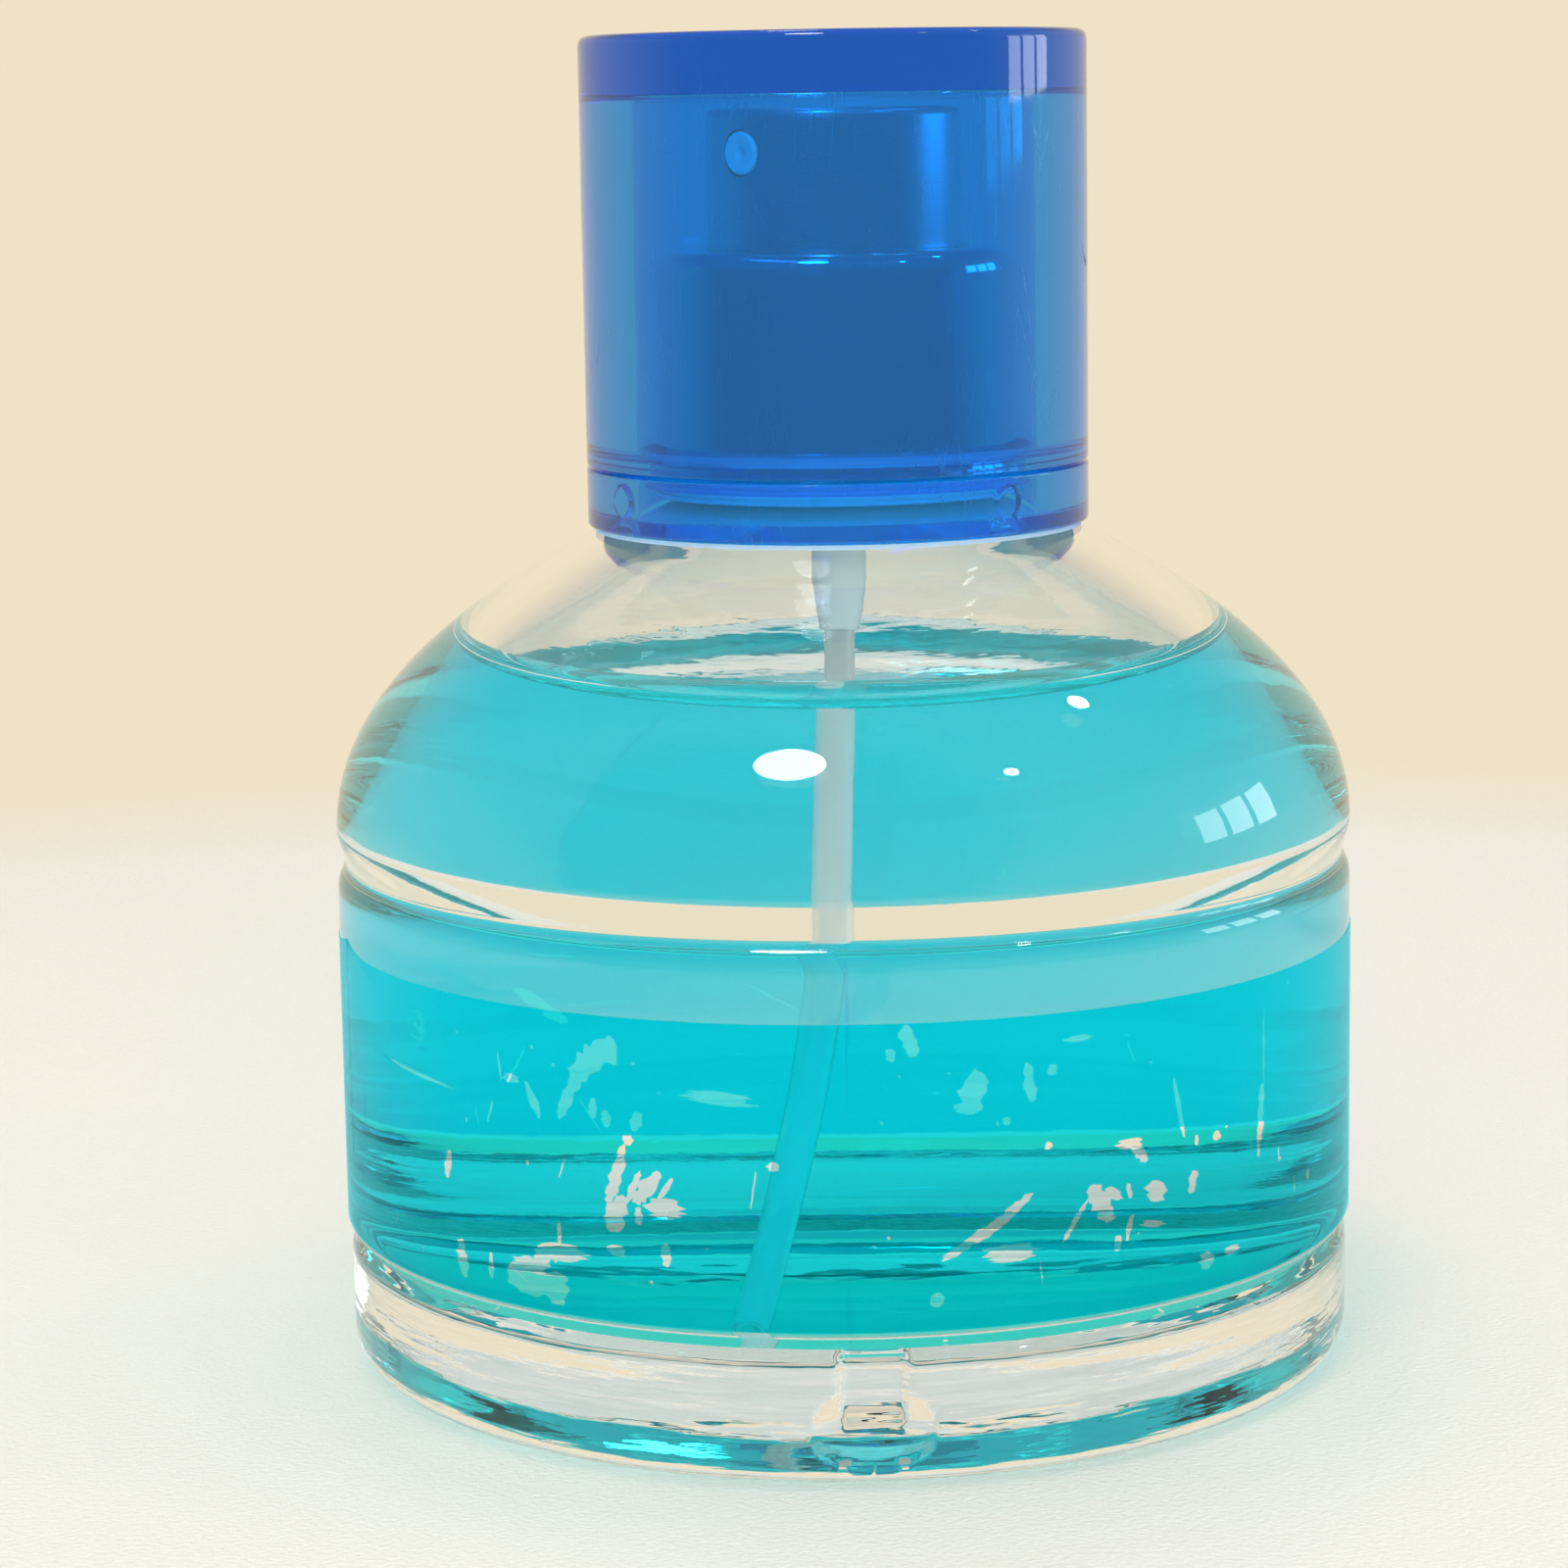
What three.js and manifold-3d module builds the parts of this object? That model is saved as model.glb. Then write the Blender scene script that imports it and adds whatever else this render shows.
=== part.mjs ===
// Round perfume spray bottle with a domed glass shoulder, a tinted lacquer band, a crimped
// spray pump and a lift-off overcap. Millimetres, +Z up, the bottle stands on z = 0 and its
// axis is the Z axis. The front is towards -Y.

import * as THREE from "three";
import { mergeVertices } from "three/addons/utils/BufferGeometryUtils.js";
import Module from "manifold-3d";

const wasm = await Module();
wasm.setup();

// ---------------------------------------------------------------- driving dimensions

const TOTAL_HEIGHT = 75.1;
const BODY_RADIUS = 29; // the straight lacquered wall
const CAP_RADIUS = 14.2; // overcap and base ring
const GAP = 0.3; // clearance between neighbouring pieces

// Heights up the bottle's outside.
const FOOT_TOP = 6.85; // upper edge of the thick foot
const LOWER_GROOVE_Z = 7.6;
const BAND_BOTTOM = 8.66;
const BAND_TOP = 24.94;
const WAIST_Z = 28.9; // groove between the straight wall and the dome
const DOME_WIDEST_Z = 30.9;
const SHOULDER_Z = 47.3; // where the dome meets the base ring
const LIP_TOP = 56;

// The glass.
const FOOT_RADIUS = 28.8;
const LOWER_GROOVE_RADIUS = 28.25;
const WAIST_RADIUS = 28.4;
const WALL = 2.7;
const FLOOR_Z = 6; // top of the thick glass base
const INNER_RADIUS = BODY_RADIUS - WALL;
const INNER_FILLET = 5.5;
const NECK_RADIUS = 6.5;
const LIP_RADIUS = 7.5;
const BORE_RADIUS = 4.75;

// Lacquer, drawn thicker than it is so that it is a solid of its own.
const FILM = 0.25;

// The perfume.
const FILL_Z = 38;

// Base ring, collar and overcap.
const RING_BOTTOM = SHOULDER_Z + 0.35;
const SEAM_Z = 51.1;
const CAP_BORE = 11.3;
const CAP_CEILING = 71.8;
const COLLAR_RADIUS = 10.1;
const COLLAR_BOTTOM = 50.9;
const COLLAR_TOP = 63.3;
const BOSS_ANGLES = [-67.5, 52.5, 172.5]; // from the front, positive towards +X
const BOSS_RADIUS = 0.9;
const BOSS_Z = 49.9;

// The pump, from the glass lip up.
const TRAVEL = 3.2; // how far the actuator presses down
const FERRULE_RADIUS = 8.2;
const FERRULE_TOP = LIP_TOP + 3.1;
const HOUSING_RADIUS = 4.4;
const HOUSING_BORE = 3;
const CHAMBER_FLOOR = 47.7; // where the spring stands
const SOCKET_RADIUS = 1.545;
const SOCKET_TOP = 45.9;
const SOCKET_BOTTOM = 41.5;
const STEM_RADIUS = 1.5;
const STEM_FOOT_Z = 53.5;
const STEM_TOP = 66.6;

// The actuator.
const ACTUATOR_RADIUS = 7.15;
const ACTUATOR_TOP = 71;
const ACTUATOR_BOTTOM = FERRULE_TOP + GAP + TRAVEL;
const SHELL_WALL = 0.4;
const NOZZLE_Z = 68.6;
const NOZZLE_ANGLE = -44; // from the front, positive towards +X
const NOZZLE_RADIUS = 1.2;

// The dip tube leans to the front of the floor, a little to the left.
const TUBE_RADIUS = 0.8;
const TUBE_BORE = 0.5;
const TUBE_TOP = 45.6;
const TUBE_LEAN_ANGLE = -12.5;

// The mould's register notch in the foot.
const NOTCH_ANGLE = 2.4;

// Facets round a full turn.
const BODY_FACETS = 48;
const CAP_FACETS = 40;
const SMALL_FACETS = 20;

// ---------------------------------------------------------------- materials

const plastic = (color, roughness = 0.35) => new THREE.MeshStandardMaterial({ color, roughness, metalness: 0 });
const metal = (color, roughness = 0.25) => new THREE.MeshStandardMaterial({ color, roughness, metalness: 1 });

const materials = {
  clearGlass: new THREE.MeshStandardMaterial({
    color: 0xe6efe8, roughness: 0.05, metalness: 0, transparent: true, opacity: 0.35,
  }),
  blueLacquer: plastic(0x16a9dc, 0.2),
  perfume: plastic(0xbfeff2, 0.05),
  bluePlastic: plastic(0x1673cf, 0.12),
  chrome: metal(0xd9dde2, 0.12),
  satinMetal: metal(0xc3c7cc, 0.35),
  ferruleMetal: metal(0xcfd0cf, 0.3),
  springSteel: metal(0xb9bcc0, 0.25),
  whitePlastic: plastic(0xf2f3f2),
  naturalPlastic: plastic(0xe4ecec, 0.3),
  rubber: plastic(0x3c4043, 0.8),
};

// ---------------------------------------------------------------- building tools

const bottle = new THREE.Group();

// Adds one named piece to the assembly.
function addPiece(name, geometry, material) {
  const mesh = new THREE.Mesh(geometry, material);
  mesh.name = name;
  bottle.add(mesh);
  return mesh;
}

// Corners [radius, height, rounding] become an outline whose rounded corners are short curves.
function roundedOutline(corners, closed = false) {
  const points = corners.map(([r, z]) => new THREE.Vector2(r, z));
  const path = new THREE.Path();
  points.forEach((corner, i) => {
    const rounding = corners[i][2] ?? 0;
    const before = points[(i + points.length - 1) % points.length];
    const after = points[(i + 1) % points.length];
    const start = corner.clone().add(before.clone().sub(corner).setLength(rounding));
    const end = corner.clone().add(after.clone().sub(corner).setLength(rounding));
    if (i === 0) path.moveTo(start.x, start.y);
    else path.lineTo(start.x, start.y);
    if (rounding > 0) path.quadraticCurveTo(corner.x, corner.y, end.x, end.y);
  });
  const outline = path.getPoints(2);
  return closed ? [...outline, outline[0].clone()] : outline;
}

// Turns an outline of (radius, height) points round the Z axis, with its faces outwards.
function turned(outline, facets) {
  const signedArea = outline.reduce((sum, p, i) => {
    const q = outline[(i + 1) % outline.length];
    return sum + p.x * q.y - q.x * p.y;
  }, 0);
  const points = signedArea > 0 ? outline : [...outline].reverse();
  return new THREE.LatheGeometry(points, facets).rotateX(Math.PI / 2);
}

// A solid of revolution that reaches the axis, and one that is open in the middle.
const turnedSolid = (corners, facets) => turned(roundedOutline(corners), facets);
const turnedRing = (corners, facets) => turned(roundedOutline(corners, true), facets);

// three.js geometry to a manifold solid and back.
function toSolid(geometry) {
  const bare = geometry.clone();
  bare.deleteAttribute("normal");
  bare.deleteAttribute("uv");
  const merged = mergeVertices(bare, 1e-4);
  const mesh = new wasm.Mesh({
    numProp: 3,
    vertProperties: new Float32Array(merged.attributes.position.array),
    triVerts: new Uint32Array(merged.index.array),
  });
  return new wasm.Manifold(mesh);
}

function toGeometry(solid) {
  const mesh = solid.getMesh();
  const geometry = new THREE.BufferGeometry();
  geometry.setAttribute("position", new THREE.BufferAttribute(mesh.vertProperties, 3));
  geometry.setIndex(new THREE.BufferAttribute(mesh.triVerts, 1));
  geometry.computeVertexNormals();
  return geometry;
}

// Takes the tools away from a geometry.
function cut(geometry, tools) {
  const rest = tools.reduce((solid, tool) => solid.subtract(toSolid(tool)), toSolid(geometry));
  return toGeometry(rest);
}

// Moves a geometry from the front (-Y) round the axis; angles are positive towards +X.
const swing = (geometry, degrees) => geometry.rotateZ(THREE.MathUtils.degToRad(degrees));

// A cylinder that points out of the bottle's front, from one radius to another.
function radialPin(radius, from, to, z, degrees) {
  const pin = new THREE.CylinderGeometry(radius, radius, to - from, 16);
  return swing(pin.translate(0, -(from + to) / 2, z), degrees);
}

// ---------------------------------------------------------------- glass bottle

// The dome's curve on the outside; the inside follows it at one wall's distance.
const SHOULDER_RADIUS = 14.3;
const DOME_OUTSIDE = [
  [BODY_RADIUS, DOME_WIDEST_Z],
  [BODY_RADIUS, 38.95],
  [19.8, 44.3],
  [SHOULDER_RADIUS, SHOULDER_Z],
];
const DOME_INSIDE = [
  [13, 44.95],
  [18.3, 42.1],
  [INNER_RADIUS, 37.7],
  [INNER_RADIUS, DOME_WIDEST_Z],
];

function domePoints(controls, steps) {
  const [a, b, c, d] = controls.map(([r, z]) => new THREE.Vector2(r, z));
  return new THREE.CubicBezierCurve(a, b, c, d).getPoints(steps);
}

// The lacquer lies in a recess of the wall, so that the film's face is the bottle's face.
function glassOutside() {
  const recess = BODY_RADIUS - FILM - GAP;
  return roundedOutline([
    [0, 1.2],
    [21, 1.2, 0.8],
    [22.4, 0, 0.4],
    [FOOT_RADIUS, 0, 2.6],
    [FOOT_RADIUS, FOOT_TOP, 0.3],
    [LOWER_GROOVE_RADIUS, LOWER_GROOVE_Z, 0.4],
    [recess, BAND_BOTTOM - GAP],
    [recess, BAND_TOP + GAP],
    [BODY_RADIUS, BAND_TOP + GAP],
    [BODY_RADIUS, WAIST_Z - 0.6, 0.7],
    [WAIST_RADIUS, WAIST_Z, 0.35],
    [BODY_RADIUS - 0.1, WAIST_Z + 0.9, 0.5],
  ]);
}

function glassNeck() {
  return roundedOutline([
    [8.3, 49.2],
    [NECK_RADIUS, 49.8, 0.6],
    [NECK_RADIUS, LIP_TOP - 3.1],
    [LIP_RADIUS, LIP_TOP - 3.1, 0.3],
    [LIP_RADIUS, LIP_TOP, 0.5],
    [BORE_RADIUS, LIP_TOP, 0.4],
    [BORE_RADIUS, 47.9, 1.2],
    [13.2, 44.85],
  ]);
}

function glassBottle() {
  const outline = [
    ...glassOutside(),
    ...domePoints(DOME_OUTSIDE, 7),
    ...glassNeck(),
    ...domePoints(DOME_INSIDE, 7),
    ...roundedOutline([[INNER_RADIUS, 20], [INNER_RADIUS, FLOOR_Z, INNER_FILLET], [0, FLOOR_Z]]),
  ];
  const scallop = new THREE.CylinderGeometry(2.4, 2.4, 4.8, 16).rotateX(Math.PI / 2);
  scallop.translate(0, -(FOOT_RADIUS + 1.6), 3.8);
  const dimple = new THREE.SphereGeometry(4, 16, 12).translate(0, -(FOOT_RADIUS + 2.7), 2.4);
  return cut(turned(outline, BODY_FACETS), [swing(scallop, NOTCH_ANGLE), swing(dimple, NOTCH_ANGLE)]);
}

function tintBand() {
  return turnedRing([
    [BODY_RADIUS, BAND_BOTTOM],
    [BODY_RADIUS, BAND_TOP],
    [BODY_RADIUS - FILM, BAND_TOP],
    [BODY_RADIUS - FILM, BAND_BOTTOM],
  ], BODY_FACETS);
}

// ---------------------------------------------------------------- perfume and dip tube

// The tube hangs straight out of its socket, then bows out to the front of the floor.
function tubePath() {
  const lean = THREE.MathUtils.degToRad(TUBE_LEAN_ANGLE);
  const at = (reach, z) => new THREE.Vector3(reach * Math.sin(lean), -reach * Math.cos(lean), z);
  return new THREE.CubicBezierCurve3(at(0, TUBE_TOP), at(0, 21.5), at(8, 15.5), at(22.5, 7.45));
}

function alongTube(radius, bore, sides, steps) {
  const section = new THREE.Shape().absarc(0, 0, radius, 0, 2 * Math.PI);
  if (bore > 0) section.holes.push(new THREE.Path().absarc(0, 0, bore, 0, 2 * Math.PI, true));
  const options = { steps, extrudePath: tubePath(), curveSegments: sides / 2 };
  return new THREE.ExtrudeGeometry(section, options);
}

const dipTube = () => alongTube(TUBE_RADIUS, TUBE_BORE, 10, 24);

function perfumeFill() {
  const topRadius = 22.7;
  const wall = domePoints(DOME_INSIDE, 7).filter((point) => point.y < FILL_Z - 0.2);
  const outline = [
    new THREE.Vector2(0, FILL_Z),
    new THREE.Vector2(topRadius, FILL_Z),
    ...wall.map((point) => new THREE.Vector2(point.x - GAP, point.y)),
    ...roundedOutline([
      [INNER_RADIUS - GAP, 20],
      [INNER_RADIUS - GAP, FLOOR_Z + GAP, INNER_FILLET],
      [0, FLOOR_Z + GAP],
    ]),
  ];
  return cut(turned(outline, BODY_FACETS), [alongTube(TUBE_RADIUS + GAP, 0, 8, 24)]);
}

// ---------------------------------------------------------------- neck and pump

function neckGasket() {
  const bottom = LIP_TOP + GAP;
  return turnedRing([
    [4.9, bottom],
    [7.4, bottom],
    [7.4, bottom + 0.5],
    [4.9, bottom + 0.5],
  ], SMALL_FACETS);
}

// The rolled edge under the glass lip is drawn flat.
function crimpFerrule() {
  const wall = 0.4;
  const bottom = LIP_TOP - 4;
  return turnedRing([
    [FERRULE_RADIUS - wall, bottom + wall],
    [7, bottom + wall],
    [7, bottom],
    [FERRULE_RADIUS, bottom, 0.5],
    [FERRULE_RADIUS, FERRULE_TOP, 0.7],
    [4.6, FERRULE_TOP],
    [4.6, FERRULE_TOP - wall],
    [FERRULE_RADIUS - wall, FERRULE_TOP - wall, 0.4],
  ], SMALL_FACETS);
}

function pumpHousing() {
  const flangeBottom = LIP_TOP + 1.1;
  const flangeTop = flangeBottom + 0.5;
  return turnedRing([
    [TUBE_RADIUS + GAP, SOCKET_BOTTOM],
    [1.3, SOCKET_BOTTOM],
    [SOCKET_RADIUS, 43.6],
    [SOCKET_RADIUS, SOCKET_TOP],
    [HOUSING_RADIUS, 48],
    [HOUSING_RADIUS, flangeBottom],
    [7.3, flangeBottom],
    [7.3, flangeTop],
    [HOUSING_BORE, flangeTop],
    [HOUSING_BORE, CHAMBER_FLOOR],
    [1.1, CHAMBER_FLOOR],
    [1.1, 46.3],
    [0.45, 46.3],
    [0.45, SOCKET_TOP],
    [TUBE_RADIUS + GAP, SOCKET_TOP],
  ], SMALL_FACETS);
}

// The lid closes the housing, and its turret guides the stem.
function housingLid() {
  const flangeBottom = LIP_TOP + 1.9;
  const flangeTop = flangeBottom + 0.5;
  const bore = STEM_RADIUS + GAP;
  return turnedRing([
    [bore, flangeBottom],
    [7.3, flangeBottom],
    [7.3, flangeTop],
    [4.25, flangeTop],
    [4.25, FERRULE_TOP + 2.1, 0.3],
    [bore, FERRULE_TOP + 2.1, 0.2],
  ], SMALL_FACETS);
}

function stemSeal() {
  return turnedRing([
    [STEM_RADIUS + GAP, 56.95],
    [2.7, 56.95],
    [2.7, 57.55],
    [STEM_RADIUS + GAP, 57.55],
  ], SMALL_FACETS);
}

// The piston's waist leaves two sealing lips.
function pumpPiston() {
  const bottom = STEM_FOOT_Z + 1.2;
  return turnedRing([
    [STEM_RADIUS + GAP, bottom],
    [2.7, bottom],
    [2.4, bottom + 0.5],
    [2.4, bottom + 1],
    [2.7, bottom + 1.5],
    [STEM_RADIUS + GAP, bottom + 1.5],
  ], SMALL_FACETS);
}

function pumpStem() {
  const channel = 0.7;
  return turnedRing([
    [channel, STEM_FOOT_Z],
    [2.6, STEM_FOOT_Z, 0.2],
    [2.6, STEM_FOOT_Z + 0.9, 0.2],
    [STEM_RADIUS, STEM_FOOT_Z + 0.9],
    [STEM_RADIUS, STEM_TOP, 0.3],
    [channel, STEM_TOP],
  ], SMALL_FACETS);
}

class Helix extends THREE.Curve {
  constructor(radius, bottom, top, turns) {
    super();
    Object.assign(this, { radius, bottom, top, turns });
  }

  getPoint(t, target = new THREE.Vector3()) {
    const angle = 2 * Math.PI * this.turns * t;
    const z = this.bottom + (this.top - this.bottom) * t;
    return target.set(this.radius * Math.cos(angle), this.radius * Math.sin(angle), z);
  }
}

function returnSpring() {
  const wire = 0.2;
  const turns = 3.5;
  const helix = new Helix(2.15, CHAMBER_FLOOR + GAP + wire, STEM_FOOT_Z - GAP - wire, turns);
  const section = new THREE.Shape().absarc(0, 0, wire, 0, 2 * Math.PI);
  return new THREE.ExtrudeGeometry(section, { steps: 14 * turns, extrudePath: helix, curveSegments: 3 });
}

function checkBall() {
  const radius = 0.7;
  return new THREE.IcosahedronGeometry(radius, 3).translate(0, 0, 46.3 + radius + 0.15);
}

// ---------------------------------------------------------------- collar, ring and overcap

function collarInsert() {
  const ledge = 60;
  return turnedRing([
    [FERRULE_RADIUS + GAP, 49.6],
    [10.3, 49.6],
    [10.3, 50.6],
    [9.35, 50.6],
    [9.35, ledge + 0.6],
    [7.6, ledge + 0.6],
    [7.6, ledge],
    [FERRULE_RADIUS + GAP, ledge],
  ], CAP_FACETS);
}

function metalCollar() {
  const wall = 0.45;
  const rounding = 1.3;
  return turnedRing([
    [COLLAR_RADIUS - wall, COLLAR_BOTTOM],
    [COLLAR_RADIUS, COLLAR_BOTTOM],
    [COLLAR_RADIUS, COLLAR_TOP, rounding],
    [7.6, COLLAR_TOP, 0.15],
    [7.6, COLLAR_TOP - wall],
    [COLLAR_RADIUS - wall, COLLAR_TOP - wall, rounding - wall],
  ], CAP_FACETS);
}

// Three blind round bosses are sunk in the ring's bore.
function baseRing() {
  const ring = turnedRing([
    [CAP_RADIUS, RING_BOTTOM, 0.35],
    [CAP_RADIUS, SEAM_Z, 0.1],
    [CAP_BORE, SEAM_Z],
    [CAP_BORE, RING_BOTTOM + 0.95],
  ], CAP_FACETS);
  return cut(ring, BOSS_ANGLES.map((angle) => radialPin(BOSS_RADIUS, 10.8, 12.5, BOSS_Z, angle)));
}

// The thick cap has a thin spigot inside the ring.
function overcap() {
  return turnedSolid([
    [0, TOTAL_HEIGHT],
    [CAP_RADIUS, TOTAL_HEIGHT, 0.65],
    [CAP_RADIUS, SEAM_Z + 0.2, 0.1],
    [11, SEAM_Z + 0.2],
    [11, 50.2],
    [10.65, 50.2],
    [10.65, SEAM_Z + 0.7],
    [CAP_BORE, SEAM_Z + 1.3],
    [CAP_BORE, CAP_CEILING, 0.5],
    [0, CAP_CEILING],
  ], CAP_FACETS);
}

// ---------------------------------------------------------------- actuator

function actuatorShell() {
  const inner = ACTUATOR_RADIUS - SHELL_WALL;
  const shell = turnedSolid([
    [0, ACTUATOR_TOP],
    [ACTUATOR_RADIUS, ACTUATOR_TOP, 0.6],
    [ACTUATOR_RADIUS, ACTUATOR_BOTTOM],
    [inner, ACTUATOR_BOTTOM],
    [inner, ACTUATOR_TOP - SHELL_WALL, 0.4],
    [0, ACTUATOR_TOP - SHELL_WALL],
  ], SMALL_FACETS * 2);
  return cut(shell, [radialPin(NOZZLE_RADIUS + GAP, 5, 9, NOZZLE_Z, NOZZLE_ANGLE)]);
}

function actuatorCore() {
  const top = ACTUATOR_TOP - SHELL_WALL - GAP;
  const ceiling = ACTUATOR_BOTTOM + 2.2;
  const core = turnedSolid([
    [0, top],
    [6.45, top, 0.5],
    [6.45, ACTUATOR_BOTTOM + GAP],
    [5.4, ACTUATOR_BOTTOM + GAP],
    [5.4, ceiling],
    [STEM_RADIUS + GAP, ceiling],
    [STEM_RADIUS + GAP, STEM_TOP + GAP],
    [0, STEM_TOP + GAP],
  ], SMALL_FACETS * 2);
  const pocket = radialPin(NOZZLE_RADIUS + GAP, 4.6, 8, NOZZLE_Z, NOZZLE_ANGLE);
  const channel = radialPin(0.5, 0, 5, NOZZLE_Z, NOZZLE_ANGLE);
  const riser = new THREE.CylinderGeometry(0.5, 0.5, NOZZLE_Z - 66, 12).rotateX(Math.PI / 2);
  riser.translate(0, 0, (NOZZLE_Z + 66) / 2);
  return cut(core, [pocket, channel, riser]);
}

function nozzleInsert() {
  const outer = ACTUATOR_RADIUS - 0.05;
  const corners = [
    [0, 4.9],
    [NOZZLE_RADIUS, 4.9],
    [NOZZLE_RADIUS, outer, 0.15],
    [0.6, outer],
    [0.3, outer - 0.35],
    [0, outer - 0.35],
  ];
  const insert = turnedSolid(corners, 24).rotateX(Math.PI / 2);
  return swing(insert.translate(0, 0, NOZZLE_Z), NOZZLE_ANGLE);
}

// ---------------------------------------------------------------- assembly

addPiece("glass_bottle", glassBottle(), materials.clearGlass);
addPiece("tint_band", tintBand(), materials.blueLacquer);
addPiece("perfume_fill", perfumeFill(), materials.perfume);
addPiece("dip_tube", dipTube(), materials.naturalPlastic);
addPiece("neck_gasket", neckGasket(), materials.rubber);
addPiece("crimp_ferrule", crimpFerrule(), materials.ferruleMetal);
addPiece("pump_housing", pumpHousing(), materials.naturalPlastic);
addPiece("housing_lid", housingLid(), materials.whitePlastic);
addPiece("stem_seal", stemSeal(), materials.rubber);
addPiece("pump_piston", pumpPiston(), materials.whitePlastic);
addPiece("pump_stem", pumpStem(), materials.whitePlastic);
addPiece("return_spring", returnSpring(), materials.springSteel);
addPiece("check_ball", checkBall(), materials.springSteel);
addPiece("collar_insert", collarInsert(), materials.whitePlastic);
addPiece("metal_collar", metalCollar(), materials.chrome);
addPiece("base_ring", baseRing(), materials.bluePlastic);
addPiece("actuator_shell", actuatorShell(), materials.satinMetal);
addPiece("actuator_core", actuatorCore(), materials.whitePlastic);
addPiece("nozzle_insert", nozzleInsert(), materials.whitePlastic);
addPiece("overcap", overcap(), materials.bluePlastic);

export default bottle;
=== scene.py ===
"""Looks of a round perfume spray bottle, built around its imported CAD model.

Metres, +Z up. The bottle's axis is the Z axis and its front faces -Y. Outlines are written in
millimetres, as (radius, height) from the axis and the floor, and scaled once where a mesh is made.
"""

import math
import random

import bmesh
import bpy
from mathutils import Matrix, Vector
from mathutils.geometry import delaunay_2d_cdt


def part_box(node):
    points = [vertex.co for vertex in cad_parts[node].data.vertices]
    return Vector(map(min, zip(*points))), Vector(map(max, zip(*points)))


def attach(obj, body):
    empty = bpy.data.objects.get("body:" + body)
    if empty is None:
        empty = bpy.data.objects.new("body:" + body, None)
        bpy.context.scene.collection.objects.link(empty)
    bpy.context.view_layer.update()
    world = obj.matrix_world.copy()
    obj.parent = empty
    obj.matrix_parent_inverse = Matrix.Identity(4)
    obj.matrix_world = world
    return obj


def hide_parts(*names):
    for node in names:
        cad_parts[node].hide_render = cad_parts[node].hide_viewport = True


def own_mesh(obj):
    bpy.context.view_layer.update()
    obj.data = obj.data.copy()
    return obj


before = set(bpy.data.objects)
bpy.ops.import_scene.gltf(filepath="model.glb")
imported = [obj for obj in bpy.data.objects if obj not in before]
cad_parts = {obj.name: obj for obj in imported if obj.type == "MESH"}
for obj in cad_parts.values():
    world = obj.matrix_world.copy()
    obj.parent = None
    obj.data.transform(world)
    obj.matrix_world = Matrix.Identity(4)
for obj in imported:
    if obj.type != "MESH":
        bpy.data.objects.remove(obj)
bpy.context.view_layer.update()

MM = 0.001


def extent(node):
    """(radius, bottom, top) of a turned CAD node, in millimetres."""
    low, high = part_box(node)
    return high.x / MM, low.z / MM, high.z / MM


# ------------------------------------------------------------------ sizes from the frame

BODY_R, _, LIP_TOP = extent("glass_bottle")
_, BAND_BOTTOM, BAND_TOP = extent("tint_band")
_, FILL_BOTTOM, FILL_Z = extent("perfume_fill")
RING_R, RING_BOTTOM, SEAM_Z = extent("base_ring")
CAP_R, CAP_BOTTOM, CAP_TOP = extent("overcap")
COLLAR_R, COLLAR_BOTTOM, COLLAR_TOP = extent("metal_collar")
INSERT_R, INSERT_BOTTOM, INSERT_TOP = extent("collar_insert")
ACTUATOR_R, ACTUATOR_BOTTOM, ACTUATOR_TOP = extent("actuator_shell")
FLANGE_R, HOUSING_BOTTOM, HOUSING_TOP = extent("pump_housing")
FERRULE_R, FERRULE_BOTTOM, FERRULE_TOP = extent("crimp_ferrule")
TUBE_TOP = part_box("dip_tube")[1].z / MM


WALL = 2.7  # glass wall
FLOOR_Z = FILL_BOTTOM - 0.3
INNER_R = BODY_R - WALL
FILLET = 5.5  # where the inner wall meets the inner floor
FILM = 0.04  # lacquer
GLASS_R = BODY_R - FILM - 0.01
WAIST_Z = 28.9  # groove between the straight wall and the dome
FOOT_TOP = 6.85
FOOT_R = BODY_R - 0.2
NECK_BORE = 4.75
CAP_BORE = 11.3

GLASS_IOR = 1.52
PERFUME_IOR = 1.36
PLASTIC_IOR = 1.49


# ------------------------------------------------------------------ outlines


def rounded(corners, steps=6, closed=False):
    """Points of an outline whose corners (radius, height, rounding) are rounded by short curves."""
    points = []
    for i, corner in enumerate(corners):
        here = Vector(corner[:2])
        rounding = corner[2] if len(corner) > 2 else 0
        if rounding == 0:
            points.append(here)
            continue
        before = Vector(corners[i - 1][:2])
        after = Vector(corners[(i + 1) % len(corners)][:2])
        start = here + (before - here).normalized() * rounding
        end = here + (after - here).normalized() * rounding
        points += bezier(start, here.lerp(start, 1 / 3), here.lerp(end, 1 / 3), end, steps)
    return points + points[:1] if closed else points


def bezier(a, b, c, d, steps):
    """Points along a cubic curve."""
    a, b, c, d = (Vector(p) for p in (a, b, c, d))
    points = []
    for i in range(steps + 1):
        t = i / steps
        s = 1 - t
        points.append(a * s**3 + b * (3 * s * s * t) + c * (3 * s * t * t) + d * t**3)
    return points


def refined(points, step):
    """The same outline with no segment longer than step."""
    finer = [points[0]]
    for a, b in zip(points, points[1:]):
        pieces = max(1, math.ceil((b - a).length / step))
        finer += [a.lerp(b, (i + 1) / pieces) for i in range(pieces)]
    return finer


# ------------------------------------------------------------------ meshes


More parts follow.
